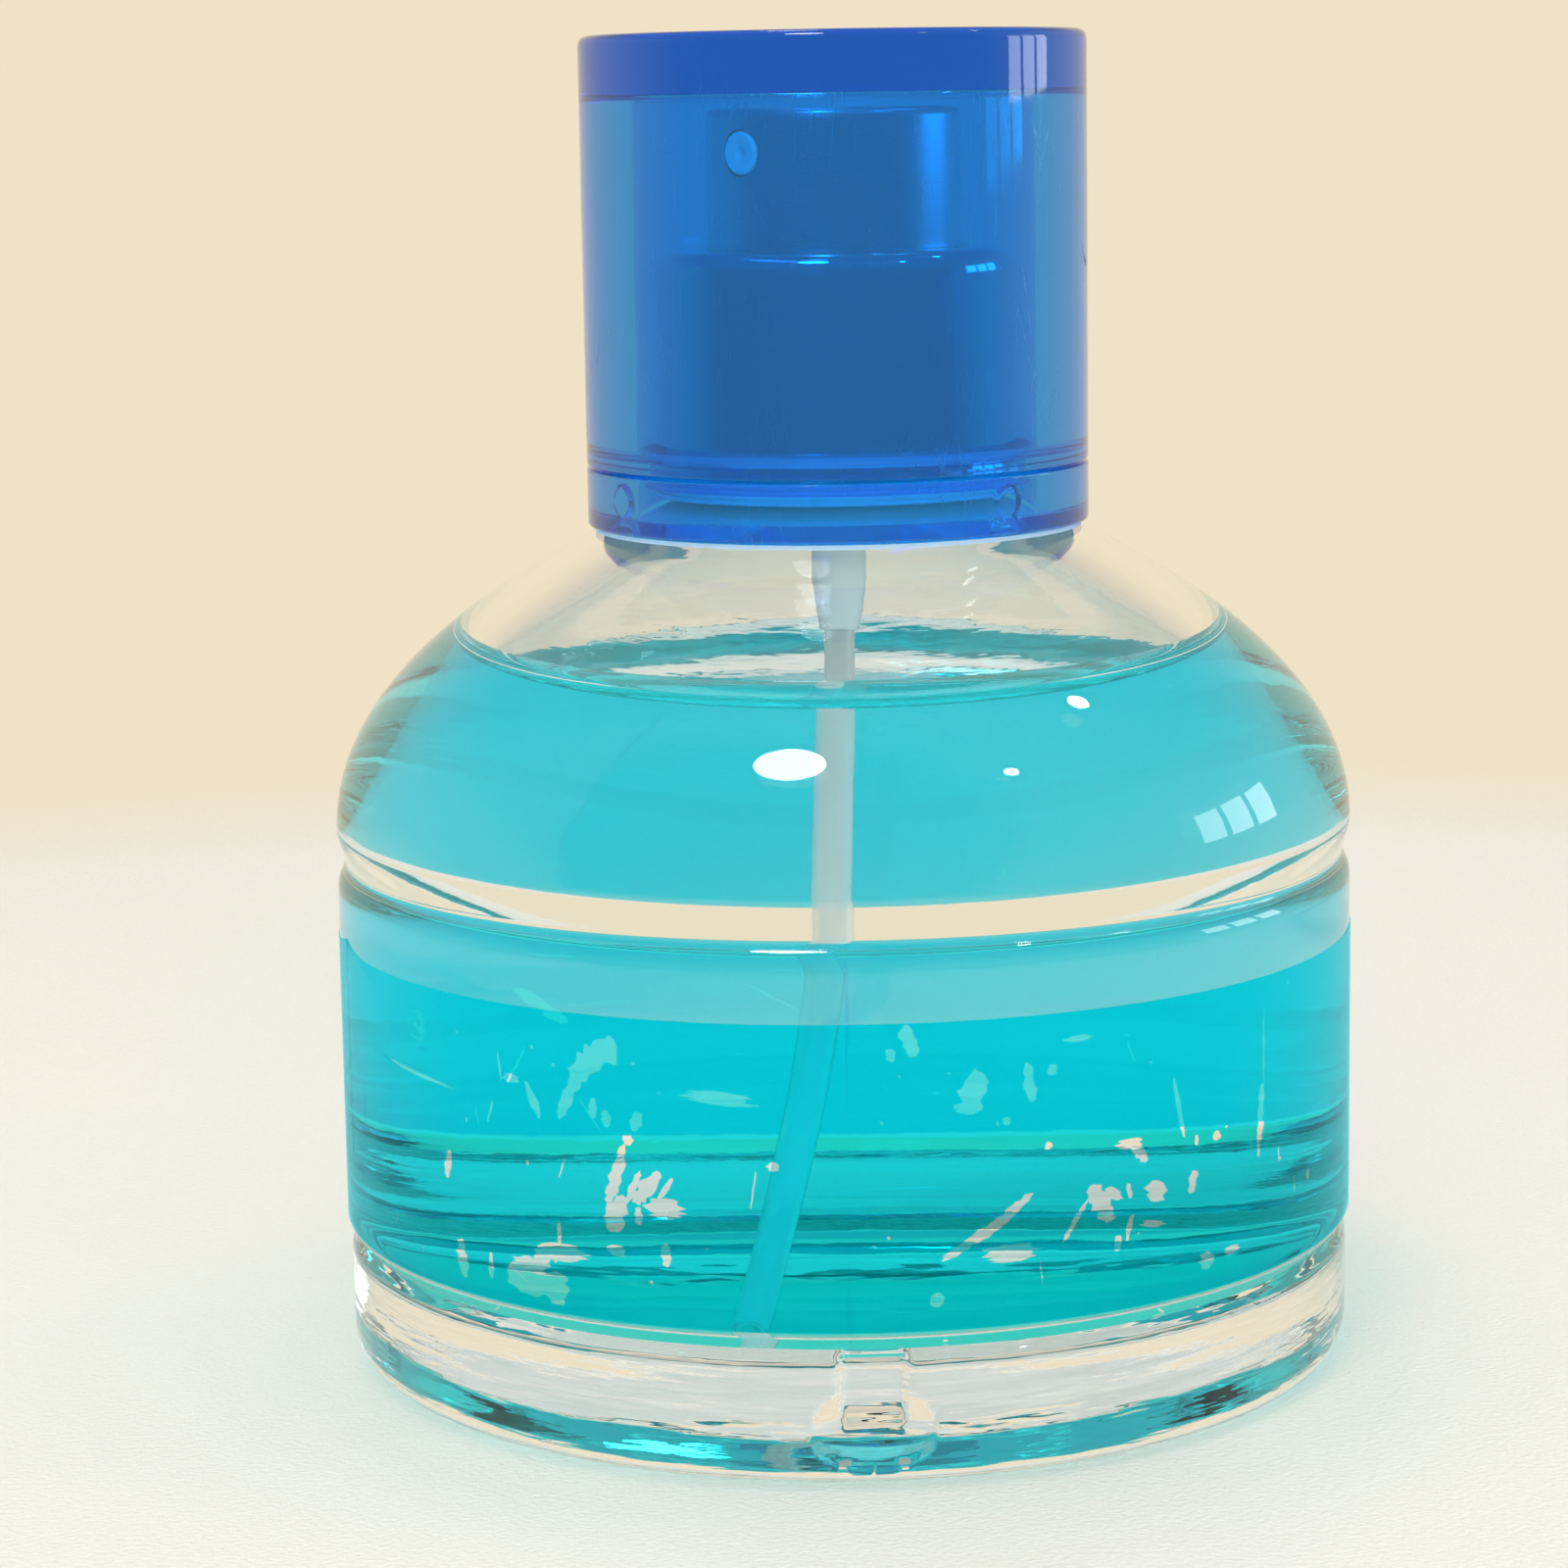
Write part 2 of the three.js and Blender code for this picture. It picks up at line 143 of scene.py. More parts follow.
def turn_angles(facets, dense_at=(), half_width=0.0, step=1.0):
    """Angles round a full turn in degrees from the front, closer together near some of them."""
    angles = {round(i * 360 / facets, 4) for i in range(facets)}
    for centre in dense_at:
        count = round(half_width / step)
        angles |= {round((centre + i * step) % 360, 4) for i in range(-count, count + 1)}
    kept = []
    for angle in sorted(angles):
        if not kept or angle - kept[-1] > 0.6 * step or not dense_at:
            kept.append(angle)
    return [math.radians(a) for a in kept]


def front_point(radius, angle, z):
    """A point at an angle from the front, positive towards +X, in millimetres."""
    return Vector((radius * math.sin(angle), -radius * math.cos(angle), z))


def new_piece(name, bm, materials, body, replaces=(), sharp=35):
    """Turns a bmesh in millimetres into a smooth-shaded piece that rides on a CAD body."""
    bmesh.ops.scale(bm, vec=(MM, MM, MM), verts=bm.verts)
    mesh = bpy.data.meshes.new(name)
    bm.to_mesh(mesh)
    bm.free()
    mesh.shade_smooth()
    mesh.set_sharp_from_angle(angle=math.radians(sharp))
    for material in materials:
        mesh.materials.append(material)
    piece = bpy.data.objects.new(name, mesh)
    bpy.context.scene.collection.objects.link(piece)
    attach(piece, body)
    if replaces:
        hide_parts(*replaces)
    return piece


def turned_mesh(stretches, angles, reshape=None):
    """A solid of revolution from stretches of outline, each (points, material index).

    The stretches follow each other round the section. An outline that doesn't reach the axis
    closes on itself. reshape(radius, z, angle) may move a point in or out.
    """
    outline, slots = [], []
    for points, slot in stretches:
        for point in points:
            if outline and (point - outline[-1]).length < 1e-6:
                continue
            outline.append(point)
            slots.append(slot)
    on_axis = outline[0].x < 1e-6 and outline[-1].x < 1e-6
    if not on_axis and (outline[0] - outline[-1]).length < 1e-6:
        outline.pop()
        slots.pop()
    count = len(outline)
    following = [outline[(i + 1) % count] for i in range(count)]
    area = sum(p.x * q.y - q.x * p.y for p, q in zip(outline, following))
    bm = bmesh.new()
    rings = []
    for point in outline:
        if point.x < 1e-6:
            rings.append([bm.verts.new((0, 0, point.y))] * len(angles))
            continue
        ring = []
        for angle in angles:
            radius = reshape(point.x, point.y, angle) if reshape else point.x
            ring.append(bm.verts.new(front_point(radius, angle, point.y)))
        rings.append(ring)
    for i in range(count - 1 if on_axis else count):
        lower, upper = rings[i], rings[(i + 1) % count]
        for j in range(len(angles)):
            k = (j + 1) % len(angles)
            corners = [lower[j], lower[k], upper[k], upper[j]]
            corners = [v for n, v in enumerate(corners) if v not in corners[:n]]
            if area < 0:
                corners.reverse()
            if len(corners) > 2:
                bm.faces.new(corners).material_index = slots[i]
    return bm


# ------------------------------------------------------------------ material tools


class Nodes:
    """The node tree of a new material or world, with short calls to add and link nodes."""

    def __init__(self, name, world=False):
        self.material = (bpy.data.worlds if world else bpy.data.materials).new(name)
        self.material.use_nodes = True
        self.tree = self.material.node_tree
        self.tree.nodes.clear()
        self.output = self.add("ShaderNodeOutputWorld" if world else "ShaderNodeOutputMaterial")
        self.place = self.add("ShaderNodeTexCoord").outputs["Generated" if world else "Object"]

    def add(self, kind, **inputs):
        """Adds a node; inputs are values, or sockets to link, by their names with _ for spaces."""
        node = self.tree.nodes.new(kind)
        for key, value in inputs.items():
            self.feed(node.inputs[key.replace("_", " ")], value)
        return node

    def feed(self, socket, value):
        if isinstance(value, bpy.types.NodeSocket):
            self.tree.links.new(value, socket)
        elif isinstance(value, tuple) and len(value) == 3 and socket.type == "RGBA":
            socket.default_value = (*value, 1)
        else:
            socket.default_value = value

    def surface(self, shader):
        self.feed(self.output.inputs["Surface"], shader)
        return self.material

    def stretched(self, x, y, z):
        """The object's own coordinates, scaled along each axis."""
        return self.add("ShaderNodeMapping", Vector=self.place, Scale=(x, y, z)).outputs["Vector"]

    def noise(self, scale, detail=3.0, vector=None, roughness=0.5, distortion=0.0):
        node = self.add(
            "ShaderNodeTexNoise",
            Vector=vector or self.place,
            Scale=scale,
            Detail=detail,
            Roughness=roughness,
            Distortion=distortion,
        )
        return node.outputs["Fac"]

    def between(self, value, low, high, from_low=0.0, from_high=1.0):
        """Maps a value to the range low to high."""
        node = self.add("ShaderNodeMapRange", Value=value)
        ends = {"From Min": from_low, "From Max": from_high, "To Min": low, "To Max": high}
        for name, number in ends.items():
            self.feed(node.inputs[name], number)
        return node.outputs["Result"]

    def math(self, operation, a, b):
        node = self.tree.nodes.new("ShaderNodeMath")
        node.operation = operation
        self.feed(node.inputs[0], a)
        self.feed(node.inputs[1], b)
        return node.outputs["Value"]

    def blend_colors(self, factor, a, b):
        node = self.tree.nodes.new("ShaderNodeMix")
        node.data_type = "RGBA"
        self.feed(node.inputs["Factor"], factor)
        self.feed(node.inputs[6], a)
        self.feed(node.inputs[7], b)
        return node.outputs[2]

    def bump(self, height, strength, distance):
        node = self.add("ShaderNodeBump", Height=height, Strength=strength, Distance=distance)
        return node.outputs["Normal"]

    def principled(self, **inputs):
        return self.add("ShaderNodeBsdfPrincipled", **inputs).outputs["BSDF"]

    def mix(self, factor, a, b):
        node = self.tree.nodes.new("ShaderNodeMixShader")
        self.feed(node.inputs[0], factor)
        self.feed(node.inputs[1], a)
        self.feed(node.inputs[2], b)
        return node.outputs["Shader"]

    def lets_light_in(self, shader, tint):
        """The same shader, through which lamps still light what is inside."""
        shadow = self.add("ShaderNodeLightPath").outputs["Is Shadow Ray"]
        return self.mix(shadow, shader, self.add("ShaderNodeBsdfTransparent", Color=tint).outputs["BSDF"])

    def fine_scratches(self, amount):
        """Thin broken lines, 1 on a scratch and 0 between them."""
        streaks = self.stretched(700, 700, 90)
        lines = self.add("ShaderNodeTexVoronoi", Vector=streaks, Scale=1.0, Randomness=1.0)
        lines.feature = "DISTANCE_TO_EDGE"
        thin = self.between(lines.outputs["Distance"], 1.0, 0.0, 0.0, 0.02)
        patches = self.between(self.noise(220, 2.0), 0.0, amount, 0.55, 0.7)
        return self.math("MULTIPLY", thin, patches)


# ------------------------------------------------------------------ materials


def clear(name, ior, tint=(1.0, 1.0, 1.0), ripple=0.0, ripple_scale=(1.0, 1.0, 1.0)):
    """Polished glass or plastic; ripple is the depth in metres of its moulded waviness."""
    n = Nodes(name)
    smudges = n.between(n.noise(90, 4.0), 0.0, 0.035, 0.45, 0.8)
    inputs = {"Base_Color": tint, "Roughness": smudges, "IOR": ior, "Transmission_Weight": 1.0}
    if ripple:
        waves = n.noise(1.0, 3.0, n.stretched(*ripple_scale), roughness=0.45)
        inputs["Normal"] = n.bump(waves, 1.0, ripple)
    return n.surface(n.lets_light_in(n.principled(**inputs), (0.93, 0.95, 0.94)))


def lacquer_material():
    """A clear sky-blue film: it filters what is seen through it and adds a thin gloss of its own."""
    n = Nodes("blue_lacquer")
    color = n.blend_colors(n.noise(60, 3.0), FILM_TINT, tuple(0.96 * c for c in FILM_TINT))
    through = n.add("ShaderNodeBsdfTransparent", Color=color).outputs["BSDF"]
    shine = n.add("ShaderNodeBsdfGlossy", Color=(1.0, 1.0, 1.0), Roughness=0.08).outputs["BSDF"]
    facing = n.add("ShaderNodeLayerWeight", Blend=0.5).outputs["Facing"]
    film = n.mix(n.between(n.math("POWER", facing, 5.0), 0.002, 0.3), through, shine)
    return n.surface(n.lets_light_in(film, (0.75, 0.95, 1.0)))


def blue_plastic_material():
    """Thick translucent blue plastic, darker where there is more of it."""
    n = Nodes("blue_plastic")
    scratches = n.fine_scratches(0.5)
    roughness = n.math("ADD", scratches, n.between(n.noise(110, 4.0), 0.01, 0.05))
    normal = n.bump(n.noise(60, 2.0), 0.15, 0.0004)
    shader = n.principled(
        Base_Color=(0.06, 0.55, 0.95),
        Roughness=roughness,
        IOR=PLASTIC_IOR,
        Specular_IOR_Level=0.35,
        Transmission_Weight=0.94,
        Normal=normal,
    )
    depth = n.add("ShaderNodeVolumeAbsorption", Color=(0.0, 0.74, 0.96), Density=300.0)
    n.feed(n.output.inputs["Volume"], depth.outputs["Volume"])
    return n.surface(n.lets_light_in(shader, (0.85, 0.95, 1.0)))


def metal_material(name, color, roughness, grain=(1.0, 1.0, 1.0), grain_depth=0.0):
    n = Nodes(name)
    lines = n.noise(1.0, 4.0, n.stretched(*grain))
    rough = n.between(lines, roughness * 0.9, roughness * 1.1, 0.3, 0.7)
    tone = n.blend_colors(n.noise(120, 3.0), color, tuple(c * 0.93 for c in color))
    inputs = {"Base_Color": tone, "Metallic": 1.0, "Roughness": rough}
    if grain_depth:
        inputs["Normal"] = n.bump(lines, 0.5, grain_depth)
    return n.surface(n.principled(**inputs))


def plastic_material(name, color, transmission=0.0, ior=PLASTIC_IOR, roughness=0.3):
    """Moulded plastic with a faint orange-peel skin."""
    n = Nodes(name)
    tone = n.blend_colors(n.noise(150, 3.0), color, tuple(c * 0.94 for c in color))
    normal = n.bump(n.noise(900, 2.0), 0.2, 0.00003)
    rough = n.between(n.noise(260, 3.0), roughness * 0.8, roughness * 1.2)
    return n.surface(
        n.principled(
            Base_Color=tone, Roughness=rough, IOR=ior, Transmission_Weight=transmission, Normal=normal
        )
    )


def rubber_material():
    n = Nodes("seal_rubber")
    tone = n.blend_colors(n.noise(400, 4.0), (0.035, 0.037, 0.04), (0.06, 0.063, 0.066))
    normal = n.bump(n.noise(2500, 3.0), 0.4, 0.00004)
    return n.surface(n.principled(Base_Color=tone, Roughness=0.8, Normal=normal))


def perfume_wall_material():
    """The perfume's side lies in the glass, whose wetted face does the bending of light."""
    n = Nodes("perfume_wall")
    return n.surface(n.add("ShaderNodeBsdfTransparent", Color=(1.0, 1.0, 1.0)).outputs["BSDF"])


FILM_TINT = (0.12, 0.93, 1.0)  # of one face of the lacquer; each pass meets two
RIPPLES = (260.0, 260.0, 700.0)  # waves per metre round and up the moulded glass
glass = clear("clear_glass", GLASS_IOR, (0.985, 0.995, 0.99))
glass_inside = clear("clear_glass_inside", GLASS_IOR, (0.985, 0.995, 0.99), 0.000012, (200.0, 200.0, 1400.0))
glass_foot = clear("clear_glass_foot", GLASS_IOR, (0.985, 0.995, 0.99), 0.0001, (90.0, 90.0, 800.0))
glass_seat = plastic_material("clear_glass_ground", (0.93, 0.92, 0.87), 0.15, GLASS_IOR, 0.6)
glass_wetted = clear("clear_glass_wetted", GLASS_IOR / PERFUME_IOR, (0.985, 0.995, 0.99), 0.00002, RIPPLES)
perfume_surface = clear("perfume_surface", PERFUME_IOR, (0.985, 1.0, 1.0))
perfume_wall = perfume_wall_material()
lacquer = lacquer_material()
blue_plastic = blue_plastic_material()
chrome = metal_material("collar_chrome", (0.86, 0.88, 0.90), 0.07, (30.0, 30.0, 900.0))
satin = metal_material("satin_aluminium", (0.80, 0.82, 0.84), 0.28, (40.0, 40.0, 200.0))
ferrule_metal = metal_material("ferrule_aluminium", (0.81, 0.81, 0.80), 0.28, (200.0, 200.0, 700.0), 0.00001)
spring_steel = metal_material("spring_steel", (0.68, 0.69, 0.70), 0.22, (400.0, 400.0, 400.0))
white_plastic = plastic_material("white_plastic", (0.88, 0.88, 0.87))
natural_plastic = plastic_material("natural_plastic", (0.92, 0.98, 0.98), 0.25, roughness=0.2)
tube_dry = plastic_material("dip_tube_dry", (0.96, 0.99, 0.99), 0.7, roughness=0.16)
tube_wet = plastic_material("dip_tube_wet", (0.96, 0.99, 0.99), 0.7, PLASTIC_IOR / PERFUME_IOR, 0.16)
rubber = rubber_material()


# ------------------------------------------------------------------ glass bottle

SHOULDER = Vector((14.3, 47.3))
SHOULDER_OUTSIDE = [SHOULDER, (12.6, 48.2), (10.4, 48.8), (8.3, 49.2)]
SHOULDER_INSIDE = [(NECK_BORE, 50.5), (NECK_BORE, 47.6), (8.4, 47.4), (13, 44.95)]
DOME_OUTSIDE = [(GLASS_R, 30.9), (GLASS_R, 38.95), (19.8, 44.3), SHOULDER]
DOME_INSIDE = [(13, 44.95), (18.3, 42.1), (INNER_R, 37.7), (INNER_R, 30.9)]
NOTCH_ANGLE = 2.4  # of the mould's register notch in the foot, from the front


def smooth_step(value, edge, width):
    """1 below edge - width, 0 above edge, smooth between."""
    t = min(1.0, max(0.0, (edge - value) / width))
    return t * t * (3 - 2 * t)


def with_notch(radius, z, angle):
    """Presses the register notch in the foot's side: a straight flute over a shallow dimple."""
    if radius < FOOT_R - 3 or z > FOOT_TOP + 0.8:
        return radius
    turn = (angle - math.radians(NOTCH_ANGLE) + math.pi) % (2 * math.pi) - math.pi
    across = abs(turn) * FOOT_R
    if across > 5:
        return radius
    flute = 0.75 * smooth_step(across, 2.1, 0.7) * smooth_step(abs(z - 5.6), 1.9, 0.5)
    bowl = 1 - (across / 3.3) ** 2 - ((z - 3.2) / 1.9) ** 2
    dimple = 0.45 * math.sqrt(bowl) if bowl > 0 else 0.0
    return radius - max(flute, dimple)


def inner_radius(z):
    """Radius of the dome's inner wall at a height."""
    points = bezier(*DOME_INSIDE, 60)
    for upper, lower in zip(points, points[1:]):
        if lower.y <= z <= upper.y:
            return lower.x + (upper.x - lower.x) * (z - lower.y) / (upper.y - lower.y)
    return INNER_R


def meniscus():
    """Where the perfume's surface climbs the glass, from the flat outwards: an exact 2D meniscus."""
    capillary, contact = 1.45, math.radians(128)

    def point(turn):
        return (
            capillary * (math.log(math.tan(turn / 4)) + 2 * math.cos(turn / 2)),
            2 * capillary * math.sin(turn / 2),
        )

    across, rise = point(contact)
    shift = inner_radius(FILL_Z + rise) + 0.05 - across
    turns = [math.radians(3) * (contact / math.radians(3)) ** (i / 18) for i in range(19)]
    return [Vector((point(t)[0] + shift, FILL_Z + point(t)[1])) for t in turns]


def make_glass():
    wet_top = meniscus()[-1].y
    foot = rounded([
        (0, 1.2), (21, 1.2, 0.8), (22.4, 0, 0.4), (FOOT_R, 0, 2.6), (FOOT_R, FOOT_TOP, 0.3), (28.25, 7.6),
    ], steps=8)
    outside = rounded([
        (28.25, 7.6), (GLASS_R, BAND_BOTTOM - 0.2, 0.3), (GLASS_R, WAIST_Z - 0.6, 0.7),
        (28.4, WAIST_Z, 0.35), (28.52, WAIST_Z + 0.5),
    ], steps=8)
    neck = rounded([
        (8.3, 49.2), (6.5, 49.8, 0.6), (6.5, LIP_TOP - 3.1), (7.5, LIP_TOP - 3.1, 0.3),
        (7.5, LIP_TOP, 0.5), (NECK_BORE, LIP_TOP, 0.4), (NECK_BORE, 50.5),
    ])
    dome_inside = bezier(*DOME_INSIDE, 40)
    bowl = rounded([(INNER_R, 20), (INNER_R, FLOOR_Z, FILLET), (0, FLOOR_Z)], steps=20)
    stretches = [
        (refined(foot, 0.5), 3),
        (refined(outside, 0.5) + bezier(*DOME_OUTSIDE, 40), 0),
        (bezier(*SHOULDER_OUTSIDE, 10), 4),
        (neck + bezier(*SHOULDER_INSIDE, 16), 1),
        ([p for p in dome_inside if p.y >= wet_top], 1),
        ([p for p in dome_inside if p.y < wet_top] + bowl, 2),
    ]
    angles = turn_angles(256, [NOTCH_ANGLE], 9, 0.3)
    bm = turned_mesh(stretches, angles, with_notch)
    materials = [glass, glass_inside, glass_wetted, glass_foot, glass_seat]
    new_piece("bottle_glass", bm, materials, "root", ["glass_bottle"])


def make_perfume():
    """Its side sinks a little into the glass, and its surface rises at the wall and at the tube."""
    sink = 0.05
    rim = meniscus()
    climb_radii = (0.9, 1.1, 1.4, 1.8, 2.4, 3.4)
    at_tube = [Vector((r, FILL_Z + 0.7 * math.exp(-(r - 0.9) / 0.45))) for r in climb_radii]
    surface = [Vector((0, at_tube[0].y)), *at_tube, Vector((8, FILL_Z)), *rim]
    side = [Vector((p.x + sink, p.y)) for p in bezier(*DOME_INSIDE, 40) if p.y < rim[-1].y - 0.1]
    bowl_bottom = FLOOR_Z - sink
    bowl = rounded([(INNER_R + sink, 20), (INNER_R + sink, bowl_bottom, FILLET), (0, bowl_bottom)], steps=20)
    bm = turned_mesh([(surface, 0), (side + bowl, 1)], turn_angles(192))
    new_piece("perfume", bm, [perfume_surface, perfume_wall], "root", ["perfume_fill"], sharp=60)


# ------------------------------------------------------------------ lacquer film


# Where the lacquer has come off: degrees from the front, height, length, width (all mm), and the lean
# of the length to the right in degrees.
CHIPS = [
    (-26, 23, 1.8, 1.1, 60), (-28, 22.2, 1.6, 1.0, 45), (-29, 21.5, 1.3, 0.6, 15), (-30, 20.5, 2.4, 0.5, 25),
    (-34.5, 20, 1.7, 0.4, -25), (-40.5, 19, 1.2, 0.15, 20), (-42.5, 18.5, 1.0, 0.12, -15),
    (-39, 21.5, 1.4, 0.15, -8),
    (-37.5, 21, 0.4, 0.8, 0), (-53, 20, 0.2, 5.5, 4), (-13, 21, 0.6, 2.6, 5), (-27, 20, 0.9, 0.4, 0),
    (-25.5, 19.5, 0.8, 0.4, 0), (-22, 19.5, 0.9, 0.5, 20), (-23, 18.5, 0.5, 0.4, 0),
    (-24.5, 16.5, 2.9, 0.5, 17), (-22.5, 16, 1.6, 0.3, 25), (-24.5, 14.5, 1.7, 0.8, 20),
    (-21, 16, 1.9, 0.6, 40),
    (-19, 16, 1.3, 0.2, 35), (-19, 15, 0.9, 1.5, 0), (-22, 14.5, 0.8, 0.3, 0), (-24.5, 12.5, 0.5, 0.8, 0),
    (-47.5, 15.5, 1.3, 0.4, 10), (-45.5, 10.5, 1.8, 0.6, -10), (-41, 10.5, 1.2, 0.3, 0),
    (-31, 12, 0.8, 2.1, 0), (-31.5, 13, 1.1, 0.2, 0), (-34, 11.3, 1.1, 0.9, 20), (-35.5, 10.4, 1.7, 2.3, 0),
    (-32, 10, 1.5, 1.1, 10), (-19, 12.5, 1.0, 0.4, 0), (-7.5, 17.5, 0.4, 0.5, 0),
    (6.5, 24, 1.4, 0.6, -20), (4.5, 23.3, 0.6, 0.35, -20), (13, 21.2, 1.9, 1.0, 15),
    (12.3, 20.4, 0.5, 0.9, 0),
    (19, 21.5, 1.7, 0.45, -10), (21.5, 22, 0.5, 0.4, 0), (24.5, 23.5, 0.3, 1.1, 0), (16.5, 19.5, 0.4, 0.3, 0),
    (21, 18, 0.35, 0.3, 0), (30.5, 17.5, 0.5, 1.1, 0), (31.7, 17, 1.3, 0.4, -40), (37, 19, 2.8, 0.28, -12),
    (50.5, 21, 4.0, 0.15, 0), (50, 17.5, 2.6, 0.45, 5), (49.5, 16, 1.5, 0.2, 0), (39.5, 17, 0.5, 0.2, 0),
    (42.5, 17, 0.45, 0.45, 0), (34, 14.7, 0.9, 1.0, 20), (30.5, 15, 0.7, 0.25, -10),
    (27, 14.6, 2.0, 0.8, -35),
    (24, 13.8, 2.2, 0.2, 35), (28.5, 15, 0.5, 0.8, 30), (16.5, 14.5, 3.0, 0.38, 52),
    (12.5, 13.3, 2.8, 0.4, 58),
    (33.5, 13, 0.3, 1.2, 10), (30.5, 13, 1.2, 0.25, 15), (29, 12.3, 0.7, 0.35, 0), (17, 12.5, 0.8, 2.2, 0),
    (41, 10.3, 0.8, 0.8, 0), (45, 10.5, 0.4, 0.9, 0), (9, 10.3, 0.65, 0.5, 30), (39, 14.8, 1.0, 0.45, 15),
    (57, 13, 1.1, 0.15, 0), (60.5, 13, 0.6, 0.4, 0), (53.5, 15, 1.0, 0.12, 0), (-73.5, 18, 12.0, 0.12, 0),
    (118, 14, 1.8, 0.8, 30), (151, 20, 1.2, 0.6, -20), (-128, 11, 1.0, 1.6, 0), (-160, 17, 2.2, 0.4, 35),
]
SPECKS = 90
HAIRLINES = 26


def chip_outline(rng, angle, height, length, width, lean):
    """A ragged closed outline on the unrolled band."""
    length *= 1.25
    width *= 1.5
    centre = Vector((math.radians(angle) * BODY_R, height))
    lean = math.radians(lean)
    along = Vector((math.sin(lean), math.cos(lean)))
    across = Vector((along.y, -along.x))
    steps = 12 + 2 * round(3 * max(length, width))
    points = []
    for i in range(steps):
        turn = 2 * math.pi * i / steps
        ragged = rng.uniform(0.6, 1.25)
        points.append(
            centre
            + along * (length / 2 * math.cos(turn) * rng.uniform(0.9, 1.05))
            + across * (width / 2 * math.copysign(abs(math.sin(turn)) ** 0.7, math.sin(turn)) * ragged)
        )
    return points


def all_chips():
    """The chips that are listed, and small damage scattered all round the band."""
    rng = random.Random(30)
    chips = [chip_outline(rng, *chip) for chip in CHIPS]
    for _ in range(SPECKS):
        size = rng.uniform(0.08, 0.22)
        place = rng.uniform(-180, 180), rng.uniform(BAND_BOTTOM + 0.6, BAND_TOP - 0.6)
        chips.append(chip_outline(rng, *place, size, size * rng.uniform(0.6, 1.4), rng.uniform(0, 90)))
    for _ in range(HAIRLINES):
        place = rng.uniform(-180, 180), rng.uniform(BAND_BOTTOM + 2.5, BAND_TOP - 2.5)
        chips.append(chip_outline(rng, *place, rng.uniform(0.8, 3.0), 0.07, rng.gauss(8, 22)))
    return chips


def encloses(outline, point):
    """Whether a closed outline holds a point."""
    inside = False
    for i, b in enumerate(outline):
        a = outline[i - 1]
        if (a.y > point.y) != (b.y > point.y) and point.x < a.x + (point.y - a.y) * (b.x - a.x) / (b.y - a.y):
            inside = not inside
    return inside


def make_lacquer():
    """The film, unrolled as a sheet with its chips cut out, then bent round the glass."""
    chips = all_chips()
    half = math.pi * BODY_R
    columns, rows = 240, 14
    points = [
        Vector((-half + 2 * half * i / columns, BAND_BOTTOM + (BAND_TOP - BAND_BOTTOM) * j / rows))
        for i in range(columns + 1)
        for j in range(rows + 1)
    ]
    edges = []
    for chip in chips:
        start = len(points)
        points += chip
        edges += [(start + i, start + (i + 1) % len(chip)) for i in range(len(chip))]
    verts, _, faces, *_ = delaunay_2d_cdt(points, edges, [], 0, 1e-6)
    bm = bmesh.new()
    radii = (BODY_R, BODY_R - FILM)
    skins = [[bm.verts.new(front_point(r, v.x / BODY_R, v.y)) for v in verts] for r in radii]
    for face in faces:
        middle = sum((verts[i] for i in face), Vector((0, 0))) / len(face)
        if any((chip[0] - middle).length < 12 and encloses(chip, middle) for chip in chips):
            continue
        bm.faces.new([skins[0][i] for i in face])
        bm.faces.new([skins[1][i] for i in reversed(face)])
    partner = dict(zip(skins[0], skins[1]))
    for edge in [e for e in bm.edges if len(e.link_faces) == 1 and e.verts[0] in partner]:
        a, b = edge.link_loops[0].vert, edge.link_loops[0].link_loop_next.vert
        bm.faces.new([b, a, partner[a], partner[b]])
    bmesh.ops.delete(bm, geom=[v for v in bm.verts if not v.link_faces], context="VERTS")
    new_piece("lacquer_film", bm, [lacquer], "root", ["tint_band"])


# ------------------------------------------------------------------ pump and dip tube


def tube_path(steps):
    """The tube hangs straight out of its socket, then bows out to the front of the floor."""
    lean = math.radians(-12.5)
    bends = ((0, TUBE_TOP), (0, 21.5), (8, 15.5), (22.6, 7.15))
    controls = [front_point(reach, lean, z) for reach, z in bends]
    return bezier(*controls, steps)


def make_dip_tube():
    outer, bore, sides, steps = 0.88, 0.55, 24, 72
    path = tube_path(steps)
    side_on = front_point(1, math.radians(-12.5 + 90), 0)
    bm = bmesh.new()
    rings = []
    for i, centre in enumerate(path):
        along = (path[min(i + 1, steps)] - path[max(i - 1, 0)]).normalized()
        across = along.cross(side_on)
        for radius in (outer, bore):
            turns = [2 * math.pi * k / sides for k in range(sides)]
            spokes = [math.cos(t) * side_on + math.sin(t) * across for t in turns]
            rings.append([bm.verts.new(centre + radius * spoke) for spoke in spokes])
    for i in range(steps):
        wet = int(path[i].z < FILL_Z)
        for layer in (0, 1):
            a, b = rings[2 * i + layer], rings[2 * i + 2 + layer]
            for k in range(sides):
                bm.faces.new([a[k], a[(k + 1) % sides], b[(k + 1) % sides], b[k]]).material_index = wet
    for end, wet in ((0, 0), (steps, 1)):
        a, b = rings[2 * end], rings[2 * end + 1]
        for k in range(sides):
            bm.faces.new([a[k], a[(k + 1) % sides], b[(k + 1) % sides], b[k]]).material_index = wet
    bmesh.ops.recalc_face_normals(bm, faces=bm.faces)
    new_piece("dip_tube_clear", bm, [tube_dry, tube_wet], "root", ["dip_tube"])


